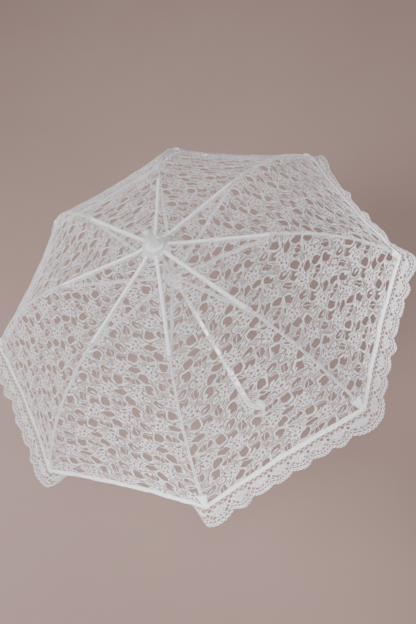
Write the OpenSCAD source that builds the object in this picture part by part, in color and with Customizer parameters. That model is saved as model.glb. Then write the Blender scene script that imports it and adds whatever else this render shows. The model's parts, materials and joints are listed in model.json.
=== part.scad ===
// Lace parasol: eight folding ribs, a runner that slides on the shaft, and a J handle.
// +Z runs up the shaft and the origin is the middle of the straight grip.

/* [Canopy] */
// Distance from the shaft's axis to each rib tip
tip_radius = 400; // [385:1:410]
// Drop from the rib pivots down to the rib tips
tip_drop = 195; // [185:1:200]
// Thickness of the lace
lace_thick = 0.6; // [0.4:0.1:0.8]
// How far each gore dips between its two ribs, as a share of its width
gore_sag = 0.02; // [0:0.005:0.03]
// Width of the lace edging sewn to the hem
edging_w = 40; // [30:1:45]
// Slope of the edging below the horizontal
edging_slope = 48; // [40:1:58]

/* [Rib frame] */
// Radius of the circle that the rib pivots and the runner pivots lie on
pivot_r = 12; // [11.5:0.5:12]
// Distance from the shaft's axis to the joint between a rib and its stretcher
joint_radius = 197; // [190:1:200]
// Drop from the rib pivots down to that joint
joint_drop = 46; // [42:1:50]
// Width of a moulded rib at its joint
rib_w = 8; // [7.6:0.1:8]
// Width of a moulded rib beside the top notch
rib_w_inner = 6; // [5.6:0.1:6.2]
// Depth of a moulded rib
rib_h = 5; // [4.6:0.1:5]
// Width of a stretcher
stretcher_w = 6.2; // [6:0.1:6.2]
// Depth of a stretcher
stretcher_h = 4; // [3.6:0.1:4]
// Diameter of the spring-steel wire of an outer rib
wire_d = 2; // [1.8:0.1:2]

/* [Shaft and handle] */
// Height of the rib pivots above the middle of the grip
pivot_z = 576; // [570:1:580]
// Outer diameter of the shaft tube
shaft_d = 8; // [8:0.1:8.1]
// Wall of the shaft tube
shaft_wall = 0.8; // [0.6:0.1:0.8]
// Diameter of the grip
grip_d = 14; // [14:0.5:15]
// Length of the straight grip
grip_len = 159; // [150:1:160]
// Bend radius of the hook, at the middle of its thickness
hook_r = 19; // [17:0.5:20]
// Angle that the hook turns through
hook_turn = 225; // [200:1:230]

/* [Ferrule] */
// Diameter of the ferrule's straight upper part
ferrule_d = 14; // [13:0.5:14.5]
// Length of that straight part
ferrule_len = 20; // [16:1:20]

/* [Hidden] */
$fn = 48;
RIBS = 8;

// Angles and lengths of the folding frame. A rib's arm and its stretcher are equally long,
// so the runner stays level and its pivots stay at pivot_r through the whole fold.
gore_angle = 360 / RIBS;
half_gore = gore_angle / 2;
arm_run = joint_radius - pivot_r;
arm_len = sqrt(arm_run * arm_run + joint_drop * joint_drop);
arm_slope = atan2(joint_drop, arm_run);
joint_z = pivot_z - joint_drop;
runner_z = pivot_z - 2 * joint_drop;

// The wire of an outer rib is one arc that leaves the joint in line with the moulded rib.
wire_run = tip_radius - joint_radius;
wire_fall = tip_drop - joint_drop;
wire_chord = sqrt(wire_run * wire_run + wire_fall * wire_fall);
wire_half_turn = atan2(wire_fall, wire_run) - arm_slope;
wire_bend_r = wire_chord / (2 * sin(wire_half_turn));
tip_slope = arm_slope + 2 * wire_half_turn;
wire_centre_x = joint_radius - wire_bend_r * sin(arm_slope);
wire_centre_z = joint_z - wire_bend_r * cos(arm_slope);
tip_z = pivot_z - tip_drop;

// Joint between rib, stretcher and wire: the wire's eye is in the middle, the stretcher's two
// tines are beside it, and the rib's two cheeks are outside them, all on one pin.
pin_r = 1;
pin_bore_r = 1.05;
wire_eye_half = 1.2;
tine_in = 1.45;
tine_out = stretcher_w / 2;
cheek_in = 3.3;
cheek_out = 5.2;
cheek_r = 3.4;
fork_slot = 12;
fork_len = 18;

// Eyes that turn on the ring wires of the top notch and of the runner.
ring_wire_r = 0.8;
ring_groove_r = 0.9;
eye_r = 3;
eye_bore_r = 1.15;
eye_half = 1.8;
eye_slot_half = 2;
wide_from = 8.5;
hub_r = 16;
hub_half_h = 5;
hub_slot_from = 8.5;

shaft_r = shaft_d / 2;
shaft_bore_r = shaft_r - shaft_wall;
shaft_top = pivot_z + 31;
shaft_bottom = grip_len / 2 - 62;
grip_top = grip_len / 2;
grip_r = grip_d / 2;
slide_gap = 0.1;
glue_gap = 0.02;

stop_pin_r = 1.2;
stop_pin_z = runner_z + hub_half_h + stop_pin_r + 0.4;
runner_bottom = runner_z - 36;
catch_top = runner_bottom - 0.3;
catch_len = 36;
catch_half_w = 1;
catch_y = -2.3;
catch_slot_half = 1.25;

washer_z = pivot_z + 7.3;
ferrule_z = washer_z + 1.3;
ferrule_r = ferrule_d / 2;

// Heights of the lace's middle surface over the rib's own line.
over_notch = 6.6;
over_arm = 3.8;
over_joint = 5;
over_wire = 3.2;
over_tip = 4.4;
crown_hole_r = 6.5;
crown_flat_r = hub_r + 1;
seam_gap = 0.16;
arm_stations = [40, 80, 120, 160, joint_radius];
arc_stations = 8;
gore_columns = 8;

function rib_azimuth(k) = half_gore - gore_angle * (k - 1);

function mix(a, b, t) = a + (b - a) * t;

// One point of the lace over a rib, as [radius, height].
function over_arm_point(r) =
    let (t = (r - pivot_r) / arm_run, h = mix(over_arm, over_joint, t))
    [r + h * sin(arm_slope), pivot_z - (r - pivot_r) * tan(arm_slope) + h * cos(arm_slope)];

function over_wire_height(t) =
    t < 0.3 ? mix(over_joint, over_wire, t / 0.3)
    : t < 0.85 ? over_wire
    : mix(over_wire, over_tip, (t - 0.85) / 0.15);

function over_wire_point(t) =
    let (a = arm_slope + 2 * wire_half_turn * t, r = wire_bend_r + over_wire_height(t))
    [wire_centre_x + r * sin(a), wire_centre_z + r * cos(a)];

function edging_point(d) =
    over_wire_point(1) + d * [cos(edging_slope), -sin(edging_slope)];

rib_line = concat(
    [[crown_hole_r, pivot_z + over_notch], [crown_flat_r, pivot_z + over_notch]],
    [for (r = arm_stations) over_arm_point(r)],
    [for (i = [1 : arc_stations]) over_wire_point(i / arc_stations)],
    [edging_point(edging_w / 2), edging_point(edging_w)]
);
rows = len(rib_line);

// The direction out of the lace, halfway between two ribs, at one row of rib_line.
function row_normal(j) =
    let (
        a = rib_line[max(j - 1, 0)],
        b = rib_line[min(j + 1, rows - 1)],
        run = (b[0] - a[0]) * cos(half_gore),
        fall = a[1] - b[1],
        size = sqrt(run * run + fall * fall)
    )
    [fall / size, run / size];

// A point of a gore: row j, share t of the way from one rib to the next, side +1 or -1.
function gore_point(j, t, side) =
    let (
        p = rib_line[j],
        half_w = p[0] * sin(half_gore) - seam_gap,
        n = row_normal(j),
        dip = gore_sag * 8 * half_w * t * (1 - t),
        lift = side * lace_thick / 2 - dip
    )
    [p[0] * cos(half_gore) + n[0] * lift, mix(-half_w, half_w, t), p[1] + n[1] * lift];

module on_rib(k) {
    rotate([0, 0, rib_azimuth(k)])
        children();
}

// A bar along +X with rounded edges, centred on its own line.
module rounded_bar(from, to, w, h, r) {
    translate([from, 0, 0])
        rotate([90, 0, 90])
            linear_extrude(to - from)
                union() {
                    square([w - 2 * r, h], center = true);
                    square([w, h - 2 * r], center = true);
                    for (x = [-1, 1], y = [-1, 1])
                        translate([x * (w / 2 - r), y * (h / 2 - r)])
                            circle(r, $fn = 24);
                }
}

// A round bar along Y, used for eyes, pins and bores.
module across(r, half) {
    rotate([90, 0, 0])
        cylinder(r = r, h = 2 * half, center = true);
}

// The shape shared by the top notch and the runner's head: a slotted disc with a ring groove.
module slotted_hub() {
    difference() {
        cylinder(r = hub_r, h = 2 * hub_half_h, center = true);
        rotate_extrude()
            translate([pivot_r, 0])
                circle(ring_groove_r);
        for (k = [1 : RIBS])
            on_rib(k)
                translate([hub_slot_from, -eye_slot_half, -hub_half_h - 1])
                    cube([hub_r, 2 * eye_slot_half, 2 * hub_half_h + 2]);
    }
}

module ring_wire() {
    rotate_extrude()
        translate([pivot_r, 0])
            circle(ring_wire_r, $fn = 24);
}

module shaft_tube() {
    color("whitesmoke")
        difference() {
            translate([0, 0, shaft_bottom])
                cylinder(r = shaft_r, h = shaft_top - shaft_bottom);
            translate([0, 0, shaft_bottom - 1])
                cylinder(r = shaft_bore_r, h = shaft_top - shaft_bottom + 2);
            // slot that the catch's nose stands out of
            translate([-catch_slot_half, -shaft_r - 1, catch_top - 16])
                cube([2 * catch_slot_half, shaft_r, 17.5]);
            // cross hole for the runner's stop pin
            translate([0, 0, stop_pin_z])
                rotate([0, 90, 0])
                    cylinder(r = stop_pin_r, h = 4 * shaft_r, center = true);
        }
}

module runner_stop_pin() {
    color("silver")
        translate([0, 0, stop_pin_z])
            rotate([0, 90, 0])
                cylinder(r = stop_pin_r, h = 12, center = true);
}

module top_notch() {
    color("white")
        translate([0, 0, pivot_z])
            difference() {
                union() {
                    slotted_hub();
                    translate([0, 0, -hub_half_h - 8])
                        cylinder(r = 7.4, h = 9);
                }
                cylinder(r = shaft_r + glue_gap, h = 60, center = true);
            }
}

module notch_ring_wire() {
    color("silver")
        translate([0, 0, pivot_z])
            ring_wire();
}

module crown_washer() {
    color("snow")
        translate([0, 0, washer_z])
            difference() {
                union() {
                    cylinder(r = 17, h = 0.7);
                    cylinder(r = 12.5, h = 1.2);
                }
                translate([0, 0, -1])
                    cylinder(r = shaft_r + slide_gap, h = 4);
            }
}

module ferrule() {
    base_r = 9.6;
    base_h = 4;
    cone_h = 11;
    color("gainsboro")
        translate([0, 0, ferrule_z])
            difference() {
                union() {
                    // rolled foot that clamps the crown washer
                    rotate_extrude()
                        union() {
                            square([base_r - base_h / 2, base_h]);
                            translate([base_r - base_h / 2, base_h / 2])
                                circle(base_h / 2);
                        }
                    translate([0, 0, base_h - 0.4])
                        cylinder(r1 = 8.8, r2 = ferrule_r, h = cone_h + 0.4);
                    cylinder(r = ferrule_r, h = base_h + cone_h + ferrule_len);
                    translate([0, 0, base_h + cone_h + ferrule_len])
                        sphere(r = ferrule_r);
                }
                translate([0, 0, -ferrule_r])
                    cylinder(r = shaft_r + glue_gap, h = shaft_top - ferrule_z + 0.6 + ferrule_r);
            }
}

module catch_spring() {
    strip_t = 0.6;
    nose_tip = -shaft_r - 2.6 - catch_y;
    nose_h = 13;
    color("silver")
        translate([0, catch_y, catch_top])
            union() {
                // eye that the spring turns on
                translate([0, 0, -catch_len])
                    rotate([0, 90, 0])
                        cylinder(r = 0.6, h = 2 * catch_half_w, center = true);
                translate([-catch_half_w, -strip_t / 2, -catch_len])
                    cube([2 * catch_half_w, strip_t, catch_len]);
                // nose: flat on top, sloping below, so the runner presses it in on the way up
                rotate([90, 0, 90])
                    linear_extrude(2 * catch_half_w, center = true)
                        polygon([
                            [0, 0],
                            [nose_tip, 0],
                            [nose_tip, -nose_h / 4],
                            [-strip_t / 2, -nose_h],
                            [0, -nose_h]
                        ]);
            }
}

module runner() {
    sleeve_r = 6.6;
    thumb_ring_r = 8.4;
    sleeve_len = runner_z - runner_bottom;
    color("white")
        translate([0, 0, runner_z])
            difference() {
                union() {
                    slotted_hub();
                    translate([0, 0, -sleeve_len])
                        cylinder(r = sleeve_r, h = sleeve_len);
                    // thumb ring at the lower end, rounded outside
                    translate([0, 0, -sleeve_len])
                        rotate_extrude()
                            union() {
                                square([thumb_ring_r - 1.5, 3]);
                                translate([thumb_ring_r - 1.5, 1.5])
                                    circle(1.5);
                            }
                    // grip rings round the sleeve
                    for (i = [0 : 3])
                        translate([0, 0, -12 - 4 * i])
                            cylinder(r = sleeve_r + 0.5, h = 1.6, center = true);
                }
                cylinder(r = shaft_r + slide_gap, h = 100, center = true);
            }
}

module runner_ring_wire() {
    color("silver")
        translate([0, 0, runner_z])
            ring_wire();
}

module handle_collar() {
    collar_r = 6.4;
    color("white")
        translate([0, 0, grip_top])
            difference() {
                union() {
                    cylinder(r = collar_r, h = 3);
                    translate([0, 0, 3])
                        cylinder(r1 = collar_r, r2 = shaft_r + 0.7, h = 3);
                }
                translate([0, 0, -1])
                    cylinder(r = shaft_r + glue_gap, h = 10);
            }
}

module handle() {
    // the bent bar is a little thinner than the grip and than the ball at its end
    hook_bar_r = grip_r - 0.15;
    color("white")
        difference() {
            union() {
                translate([0, 0, -grip_top])
                    cylinder(r = grip_r, h = grip_len);
                translate([0, -hook_r, -grip_top])
                    rotate([-90, 0, 90]) {
                        rotate_extrude(angle = hook_turn)
                            translate([hook_r, 0])
                                circle(hook_bar_r);
                        rotate([0, 0, hook_turn])
                            translate([hook_r, 0, 0])
                                sphere(r = grip_r);
                    }
            }
            translate([0, 0, shaft_bottom - 0.5])
                cylinder(r = shaft_r + glue_gap, h = grip_len);
        }
}

// Moulded inner half of a rib: a channel with cross webs, an eye at the notch, a fork at the joint.
module rib(k) {
    web_gap = 24;
    web_t = 1.6;
    wall = 1.5;
    top_t = 1.6;
    pockets = floor((arm_len - fork_len - 22) / web_gap);
    color("white")
        on_rib(k)
            translate([pivot_r, 0, pivot_z])
                rotate([0, arm_slope, 0])
                    difference() {
                        union() {
                            across(eye_r, eye_half);
                            translate([0, -eye_half, -2])
                                cube([wide_from + 2, 2 * eye_half, 4]);
                            intersection() {
                                rounded_bar(wide_from, arm_len - 1, rib_w, rib_h, 1.2);
                                translate([0, 0, -rib_h])
                                    linear_extrude(2 * rib_h)
                                        polygon([
                                            [wide_from, -rib_w_inner / 2],
                                            [arm_len, -rib_w / 2],
                                            [arm_len, rib_w / 2],
                                            [wide_from, rib_w_inner / 2]
                                        ]);
                            }
                            rounded_bar(arm_len - fork_len, arm_len, 2 * cheek_out, rib_h, 1.2);
                            translate([arm_len, 0, 0])
                                across(cheek_r, cheek_out);
                        }
                        across(eye_bore_r, 10);
                        translate([arm_len, 0, 0])
                            across(pin_bore_r, 10);
                        translate([arm_len - fork_slot, -cheek_in, -10])
                            cube([40, 2 * cheek_in, 20]);
                        for (i = [0 : pockets - 1])
                            let (
                                x = 18 + i * web_gap,
                                w = mix(rib_w_inner, rib_w, x / arm_len) - 2 * wall
                            )
                            translate([x, -w / 2, -rib_h])
                                cube([web_gap - web_t, w, rib_h * 1.5 - top_t]);
                    }
}

// Stretcher from a rib's joint to the runner: two tines on the pin, an eye on the ring wire.
module stretcher(k) {
    tine_len = 13;
    groove_w = 3;
    groove_h = 2;
    color("white")
        on_rib(k)
            translate([joint_radius, 0, joint_z])
                rotate([0, 180 - arm_slope, 0])
                    difference() {
                        union() {
                            across(2.6, tine_out);
                            translate([0, -tine_out, -1.8])
                                cube([tine_len + 1, 2 * tine_out, 3.6]);
                            rounded_bar(
                                tine_len, arm_len - wide_from, stretcher_w, stretcher_h, 1
                            );
                            translate([arm_len - wide_from - 2, -eye_half, -1.9])
                                cube([wide_from + 2, 2 * eye_half, 3.8]);
                            translate([arm_len, 0, 0])
                                across(eye_r, eye_half);
                        }
                        across(pin_bore_r, 10);
                        translate([-10, -tine_in, -10])
                            cube([tine_len + 10, 2 * tine_in, 20]);
                        translate([arm_len, 0, 0])
                            across(eye_bore_r, 10);
                        translate([tine_len + 6, -groove_w / 2, stretcher_h / 2 - groove_h])
                            cube([arm_len - wide_from - tine_len - 14, groove_w, stretcher_h]);
                    }
}

module joint_pin(k) {
    head_r = 1.9;
    color("silver")
        on_rib(k)
            translate([joint_radius, 0, joint_z])
                union() {
                    across(pin_r, cheek_out + 0.2);
                    for (side = [-1, 1])
                        translate([0, side * (cheek_out + 0.5), 0])
                            across(head_r, 0.4);
                }
}

// Spring-steel outer half of a rib: an eye on the joint's pin, then one arc out to the tip.
module outer_rib_wire(k) {
    wire_eye_r = 3;
    color("silver")
        on_rib(k)
            difference() {
                union() {
                    translate([joint_radius, 0, joint_z])
                        across(wire_eye_r, wire_eye_half);
                    translate([wire_centre_x, 0, wire_centre_z])
                        rotate([90, 0, 0])
                            rotate([0, 0, 90 - tip_slope])
                                rotate_extrude(angle = 2 * wire_half_turn)
                                    translate([wire_bend_r, 0])
                                        circle(wire_d / 2, $fn = 24);
                }
                translate([joint_radius, 0, joint_z])
                    across(pin_bore_r, 10);
            }
}

module rib_tip_cap(k) {
    cap_r = 2.6;
    cap_back = 9;
    cap_out = 5;
    color("white")
        on_rib(k)
            translate([tip_radius, 0, tip_z])
                rotate([0, 90 + tip_slope, 0])
                    difference() {
                        union() {
                            translate([0, 0, -cap_back])
                                cylinder(r = cap_r, h = cap_back + cap_out);
                            translate([0, 0, cap_out])
                                sphere(r = cap_r);
                            translate([0, 0, -cap_back])
                                cylinder(r = cap_r + 0.5, h = 1.6);
                        }
                        translate([0, 0, -cap_back - 1])
                            cylinder(r = wire_d / 2 + 0.12, h = cap_back + 1.4);
                    }
}

// One gore of lace with its strip of edging: a thin closed shell between two neighbouring ribs.
module canopy_gore(k) {
    columns = gore_columns + 1;
    layer = rows * columns;
    points = [
        for (side = [1, -1], j = [0 : rows - 1], i = [0 : gore_columns])
            gore_point(j, i / gore_columns, side)
    ];
    faces = concat(
        [
            for (j = [0 : rows - 2], i = [0 : gore_columns - 1])
                let (a = j * columns + i)
                [a, a + 1, a + columns + 1, a + columns]
        ],
        [
            for (j = [0 : rows - 2], i = [0 : gore_columns - 1])
                let (a = layer + j * columns + i)
                [a, a + columns, a + columns + 1, a + 1]
        ],
        [
            for (j = [0 : rows - 2])
                let (a = j * columns)
                [a, a + columns, a + columns + layer, a + layer]
        ],
        [
            for (j = [0 : rows - 2])
                let (a = j * columns + gore_columns)
                [a, a + layer, a + columns + layer, a + columns]
        ],
        [
            for (i = [0 : gore_columns - 1])
                [i, i + layer, i + layer + 1, i + 1]
        ],
        [
            for (i = [0 : gore_columns - 1])
                let (a = (rows - 1) * columns + i)
                [a, a + 1, a + layer + 1, a + layer]
        ]
    );
    color("white")
        rotate([0, 0, rib_azimuth(k) - half_gore])
            polyhedron(points, faces, convexity = 4);
}

shaft_tube();
top_notch();
notch_ring_wire();
crown_washer();
ferrule();
runner_stop_pin();
catch_spring();
runner();
runner_ring_wire();
handle_collar();
handle();
for (k = [1 : RIBS]) {
    rib(k);
    outer_rib_wire(k);
    rib_tip_cap(k);
    stretcher(k);
    joint_pin(k);
    canopy_gore(k);
}
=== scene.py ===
"""Looks of the lace parasol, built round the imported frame. Lengths are in metres unless a name says mm."""
import json
import math

import bpy
import numpy as np
from mathutils import Matrix, Vector


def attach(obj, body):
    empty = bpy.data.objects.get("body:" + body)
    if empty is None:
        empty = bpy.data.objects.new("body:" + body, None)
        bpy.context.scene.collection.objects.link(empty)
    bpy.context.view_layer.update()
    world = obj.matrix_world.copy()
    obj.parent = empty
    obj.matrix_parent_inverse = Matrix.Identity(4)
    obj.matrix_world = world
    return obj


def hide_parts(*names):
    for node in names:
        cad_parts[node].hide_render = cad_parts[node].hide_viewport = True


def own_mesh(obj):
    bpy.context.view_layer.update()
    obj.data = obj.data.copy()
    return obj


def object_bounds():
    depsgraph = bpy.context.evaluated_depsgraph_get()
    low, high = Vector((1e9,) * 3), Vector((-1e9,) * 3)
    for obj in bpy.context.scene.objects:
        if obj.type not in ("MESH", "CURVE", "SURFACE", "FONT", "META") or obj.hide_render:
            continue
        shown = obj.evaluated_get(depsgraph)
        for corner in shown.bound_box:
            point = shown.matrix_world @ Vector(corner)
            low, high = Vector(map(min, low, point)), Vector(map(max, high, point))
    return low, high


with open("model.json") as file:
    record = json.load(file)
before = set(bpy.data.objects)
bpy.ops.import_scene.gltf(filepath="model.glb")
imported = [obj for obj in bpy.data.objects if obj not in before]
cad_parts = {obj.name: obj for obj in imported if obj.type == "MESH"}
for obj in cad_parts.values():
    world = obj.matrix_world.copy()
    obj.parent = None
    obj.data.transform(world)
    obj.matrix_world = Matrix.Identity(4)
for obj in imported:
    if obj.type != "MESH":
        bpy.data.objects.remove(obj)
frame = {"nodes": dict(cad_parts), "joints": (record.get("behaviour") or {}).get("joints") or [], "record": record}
cad_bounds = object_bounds()

MM = 0.001
RIBS = 8
RIB_NUMBERS = range(1, RIBS + 1)  # gore k lies between ribs k and k + 1
GORE_ANGLE = math.tau / RIBS
HALF_GORE = GORE_ANGLE / 2
JOINTS = {j["name"]: j for j in frame["joints"]}


# ---------------------------------------------------------------- places taken from the frame

def joint_radius_height(name):
    """Distance from the shaft's axis and height of a joint, in mm."""
    x, y, z = JOINTS[name]["pos_m"]
    return math.hypot(x, y) / MM, z / MM


PIVOT_R, PIVOT_Z = joint_radius_height("rib_1_fold")
JOINT_R, JOINT_Z = joint_radius_height("wire_1_flex")
TIP_DROP = 195.0  # of the ribs' tips below their pivots
TIP_R, TIP_Z = 400.0, PIVOT_Z - TIP_DROP
ARM_SLOPE = math.atan2(PIVOT_Z - JOINT_Z, JOINT_R - PIVOT_R)
WIRE_RUN, WIRE_FALL = TIP_R - JOINT_R, JOINT_Z - TIP_Z
WIRE_HALF_TURN = math.atan2(WIRE_FALL, WIRE_RUN) - ARM_SLOPE
WIRE_BEND_R = math.hypot(WIRE_RUN, WIRE_FALL) / (2 * math.sin(WIRE_HALF_TURN))
WIRE_CENTRE = (
    JOINT_R - WIRE_BEND_R * math.sin(ARM_SLOPE),
    JOINT_Z - WIRE_BEND_R * math.cos(ARM_SLOPE),
)


def rib_azimuth(k):
    """Direction of rib k round the shaft, in radians from +X."""
    return HALF_GORE - GORE_ANGLE * (k - 1)


def wrap(k):
    """The number of a rib or gore, counted on past the last or back past the first."""
    return (k - 1) % RIBS + 1


UP = np.array([0, 0, 1.0])


def outward(a):
    """The level direction away from the shaft at angle a."""
    return np.array([math.cos(a), math.sin(a), 0])


def sideways(a):
    """The level direction at right angles to outward(a)."""
    return np.array([-math.sin(a), math.cos(a), 0])


# ---------------------------------------------------------------- shape of the canopy

# Heights of the lace over the rib's own line, in mm, as in the frame
OVER_ARM, OVER_JOINT, OVER_WIRE, OVER_TIP = 3.8, 5.0, 3.2, 4.4
CROWN_Z = PIVOT_Z + 6.6
CROWN_HOLE_R, CROWN_FLAT_R = 8.0, 17.0
SAG = 0.024  # how far the lace hangs in between two ribs, as a share of the gore's width there
TENSION_WAVES = (13, 21)  # folds that fan out from a tip, as waves to a radian
TENSION_REACH, TENSION_SPREAD = 55, 60  # how far from the tip they are strongest, and how they fade, in mm


def lace_profile():
    """Radius and height of the lace over a rib from the crown to the hem, in mm."""
    points = [(r, CROWN_Z) for r in (CROWN_HOLE_R, 12.0, CROWN_FLAT_R)]
    for r in np.linspace(40.0, JOINT_R, 33):
        t = (r - PIVOT_R) / (JOINT_R - PIVOT_R)
        h = OVER_ARM + (OVER_JOINT - OVER_ARM) * t
        z = PIVOT_Z - (r - PIVOT_R) * math.tan(ARM_SLOPE)
        points.append((r + h * math.sin(ARM_SLOPE), z + h * math.cos(ARM_SLOPE)))
    for t in np.linspace(0, 1, 61)[1:]:
        h = np.interp(t, (0, 0.3, 0.85, 1), (OVER_JOINT, OVER_WIRE, OVER_WIRE, OVER_TIP))
        a = ARM_SLOPE + 2 * WIRE_HALF_TURN * t
        r = WIRE_BEND_R + h
        points.append((WIRE_CENTRE[0] + r * math.sin(a), WIRE_CENTRE[1] + r * math.cos(a)))
    return np.array(points)


def smoothed(values, passes):
    out = values.copy()
    for _ in range(passes):
        out[1:-1] = (out[:-2] + 2 * out[1:-1] + out[2:]) / 4
    return out


PROFILE = lace_profile()
# Flat distance down the middle of a gore, which is where the gore's cloth isn't foreshortened
MID_RUN = PROFILE[:, 0] * math.cos(HALF_GORE)
STEPS = np.hypot(np.diff(MID_RUN), np.diff(PROFILE[:, 1]))
DOWN = np.concatenate([[0], np.cumsum(STEPS)])
HEM = DOWN[-1]
EVEN = np.linspace(0, HEM, 441)
RADIUS = smoothed(np.interp(EVEN, DOWN, PROFILE[:, 0]), 12)
HEIGHT = smoothed(np.interp(EVEN, DOWN, PROFILE[:, 1]), 12)
NORMAL_R = -np.gradient(HEIGHT, EVEN)
NORMAL_Z = np.gradient(RADIUS, EVEN) * math.cos(HALF_GORE)
NORMAL_SIZE = np.hypot(NORMAL_R, NORMAL_Z)
NORMAL_R, NORMAL_Z = NORMAL_R / NORMAL_SIZE, NORMAL_Z / NORMAL_SIZE
JOINT_Y = float(np.interp(JOINT_R, RADIUS, EVEN))  # how far down the lace the ribs' joints are


def half_width(y):
    """Half the width of a gore at flat distance y from the crown, in mm."""
    return np.interp(y, EVEN, RADIUS) * math.sin(HALF_GORE)


def tip_folds(x, y, k):
    """Soft tension folds that run into the lace from the two tips of gore k, in mm."""
    out = np.zeros_like(x)
    for side in (-1, 1):
        dx = half_width(HEM) - side * x
        dy = HEM - y
        far = np.hypot(dx, dy)
        angle = np.arctan2(dy, np.maximum(dx, 1e-6))
        wave = np.sin(angle * TENSION_WAVES[0] + k * 1.7 + side)
        wave = wave + 0.6 * np.sin(angle * TENSION_WAVES[1] - k + side)
        fade = np.exp(-((far - TENSION_REACH) / TENSION_SPREAD) ** 2)
        out += wave * fade * np.clip(far / 30, 0, 1)
    return out


def on_gore(k, x, y, lift=0.0):
    """Point of gore k in metres, from flat coordinates in mm: x across, y down, lift off the cloth."""
    r = np.interp(y, EVEN, RADIUS)
    z = np.interp(y, EVEN, HEIGHT)
    nr = np.interp(y, EVEN, NORMAL_R)
    nz = np.interp(y, EVEN, NORMAL_Z)
    half = r * math.sin(HALF_GORE)
    across = np.clip(x / half, -1, 1)
    room = 1 - across ** 2
    down = y / HEM
    drape = -SAG * 2 * half * room
    drape = drape + room * down ** 2 * 0.9 * np.sin(x / 17 + k * 2.1) * np.sin(y / 31 + k)
    drape = drape + 0.8 * np.sqrt(np.clip(room, 0, 1)) * tip_folds(x, y, k)
    off = lift + drape  # along the cloth's normal
    out_r = r * math.cos(HALF_GORE) + nr * off
    out_z = z + nz * off
    a = rib_azimuth(k) - HALF_GORE
    return np.stack(
        [
            out_r * math.cos(a) - x * math.sin(a),
            out_r * math.sin(a) + x * math.cos(a),
            out_z,
        ],
        axis=-1,
    ) * MM


# ---------------------------------------------------------------- lace pattern

REPEAT = 127.0  # along a row, from one flower to the next but one
ROW_STEP, ROW_SHIFT = 41.7, -21.2  # from a row down to the next, and how far that one stands to one side
NET_STEP = 3.6  # between holes of the net ground
RISE = 0.866  # between the rows of a net of round holes, as a share of its spacing


def ellipse(px, py, a, b):
    """About the distance inside an ellipse, in mm, and below 0 outside it."""
    return (1 - np.hypot(px / a, py / b)) * min(a, b)


def turned(px, py, angle):
    """Coordinates along and across a direction."""
    c, s = np.cos(angle), np.sin(angle)
    return px * c + py * s, -px * s + py * c


def bar(px, py, angle, start, end, width):
    """Distance inside a straight bar from start to end along a direction."""
    qx, qy = turned(px, py, angle)
    past = np.maximum(np.maximum(start - qx, qx - end), 0)
    return width / 2 - np.hypot(past, qy)


def nearest(u, v, du, dv):
    """Coordinates from the nearest place of the lace's lattice, whose rows each step to one side."""
    row = np.round((v - dv) / ROW_STEP)
    along = u - du - row * ROW_SHIFT
    return along - np.round(along / REPEAT) * REPEAT, v - dv - row * ROW_STEP


def flower(px, py, petals, reach, size, turn):
    """A flower of round petals with pinholes: distance inside it, and how it is domed."""
    angle = np.arctan2(py, px) - turn
    step = math.tau / petals
    folded = angle - np.round(angle / step) * step
    far = np.hypot(px, py)
    qx, qy = far * np.cos(folded), far * np.sin(folded)
    petal = ellipse(qx - reach, qy, size * 1.18, size)
    inside = np.maximum(petal, size * 0.95 - far)
    dome = np.clip(petal / size, 0, 1)
    inside = np.minimum(inside, np.hypot(qx - reach * 1.08, qy) - size * 0.3)
    inside = np.minimum(inside, far - size * 0.36)
    between = angle - (np.round(angle / step - 0.5) + 0.5) * step
    gap = np.hypot(far * np.cos(between) - reach * 0.66, far * np.sin(between))
    inside = np.minimum(inside, gap - size * 0.2)
    return inside, dome


def net_holes(u, v, seed):
    """Distance outside the slanting holes of the net ground, which vary in size, in mm."""
    px, py = turned(u, v, 0.5)
    tall = NET_STEP * RISE
    row = np.round(py / tall)
    qx = px - (row % 2) * NET_STEP / 2
    size = 1.34 + 0.12 * np.sin(px / 4.3 + 1.7 * np.sin(py / 6.1 + seed)) * np.sin(py / 5.2 + seed)
    qx = qx - np.round(qx / NET_STEP) * NET_STEP
    return np.hypot(qx / 1.14, py - row * tall) - size


def pinholes(px, py, spacing, size):
    """Distance outside the round holes of a net, in mm."""
    row = np.round(py / (spacing * RISE))
    qx = px - (row % 2) * spacing / 2
    qx = qx - np.round(qx / spacing) * spacing
    return np.hypot(qx, py - row * spacing * RISE) - size


# Openings of the floral lace: place along and across the row, half sizes, turn in degrees, squareness
OPENINGS = (
    (32.5, 0.4, 13.4, 5.2, 0, 1.4),
    (51.2, 12.8, 9.8, 6.0, 22, 2.8),
    (30.5, 18.8, 14.6, 5.0, 8, 1.8),
    (105.6, 9.6, 11.0, 5.5, 22, 2.2),
    (111.8, 24.6, 11.4, 6.6, 4, 2.8),
    (87.4, 20.6, 7.4, 6.8, 14, 3.0),
    (21.0, 11.6, 5.6, 1.2, 26, 1.6),
    (73.0, 14.6, 5.0, 1.5, 34, 1.6),
    (10.0, 35.4, 7.0, 1.5, -10, 1.6),
    (91.5, 34.4, 6.6, 1.8, 20, 1.6),
    (42.0, 29.6, 6.6, 1.7, -14, 1.6),
    (-14.5, 13.4, 5.0, 1.1, 30, 1.6),
)
# Round openings with a ribbon that is broad on one side: the last number is that side's direction
RIBBONED = ((4.5, 22.0, 8.6, 6.9, 8, 3.4, 125), (64.2, 29.3, 8.4, 7.2, 4, 3.0, -55))
# Threads that cross the openings: place, direction in degrees, half length
THREADS = (
    (27.0, 17.6, 62, 5.5), (37.0, 20.4, 66, 5.5), (107.0, 21.0, -4, 12.0), (89.5, 21.5, 64, 7.0),
)
# Broad ribbons that run on from the round openings: place, direction in degrees, half length
TAILS = (
    (54.0, 22.6, -14, 8.5), (75.5, 35.5, 42, 6.5), (-7.5, 13.5, 62, 4.0),
    (15.5, 27.5, -20, 6.0), (-9.0, 31.0, 30, 6.0),
)
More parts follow.
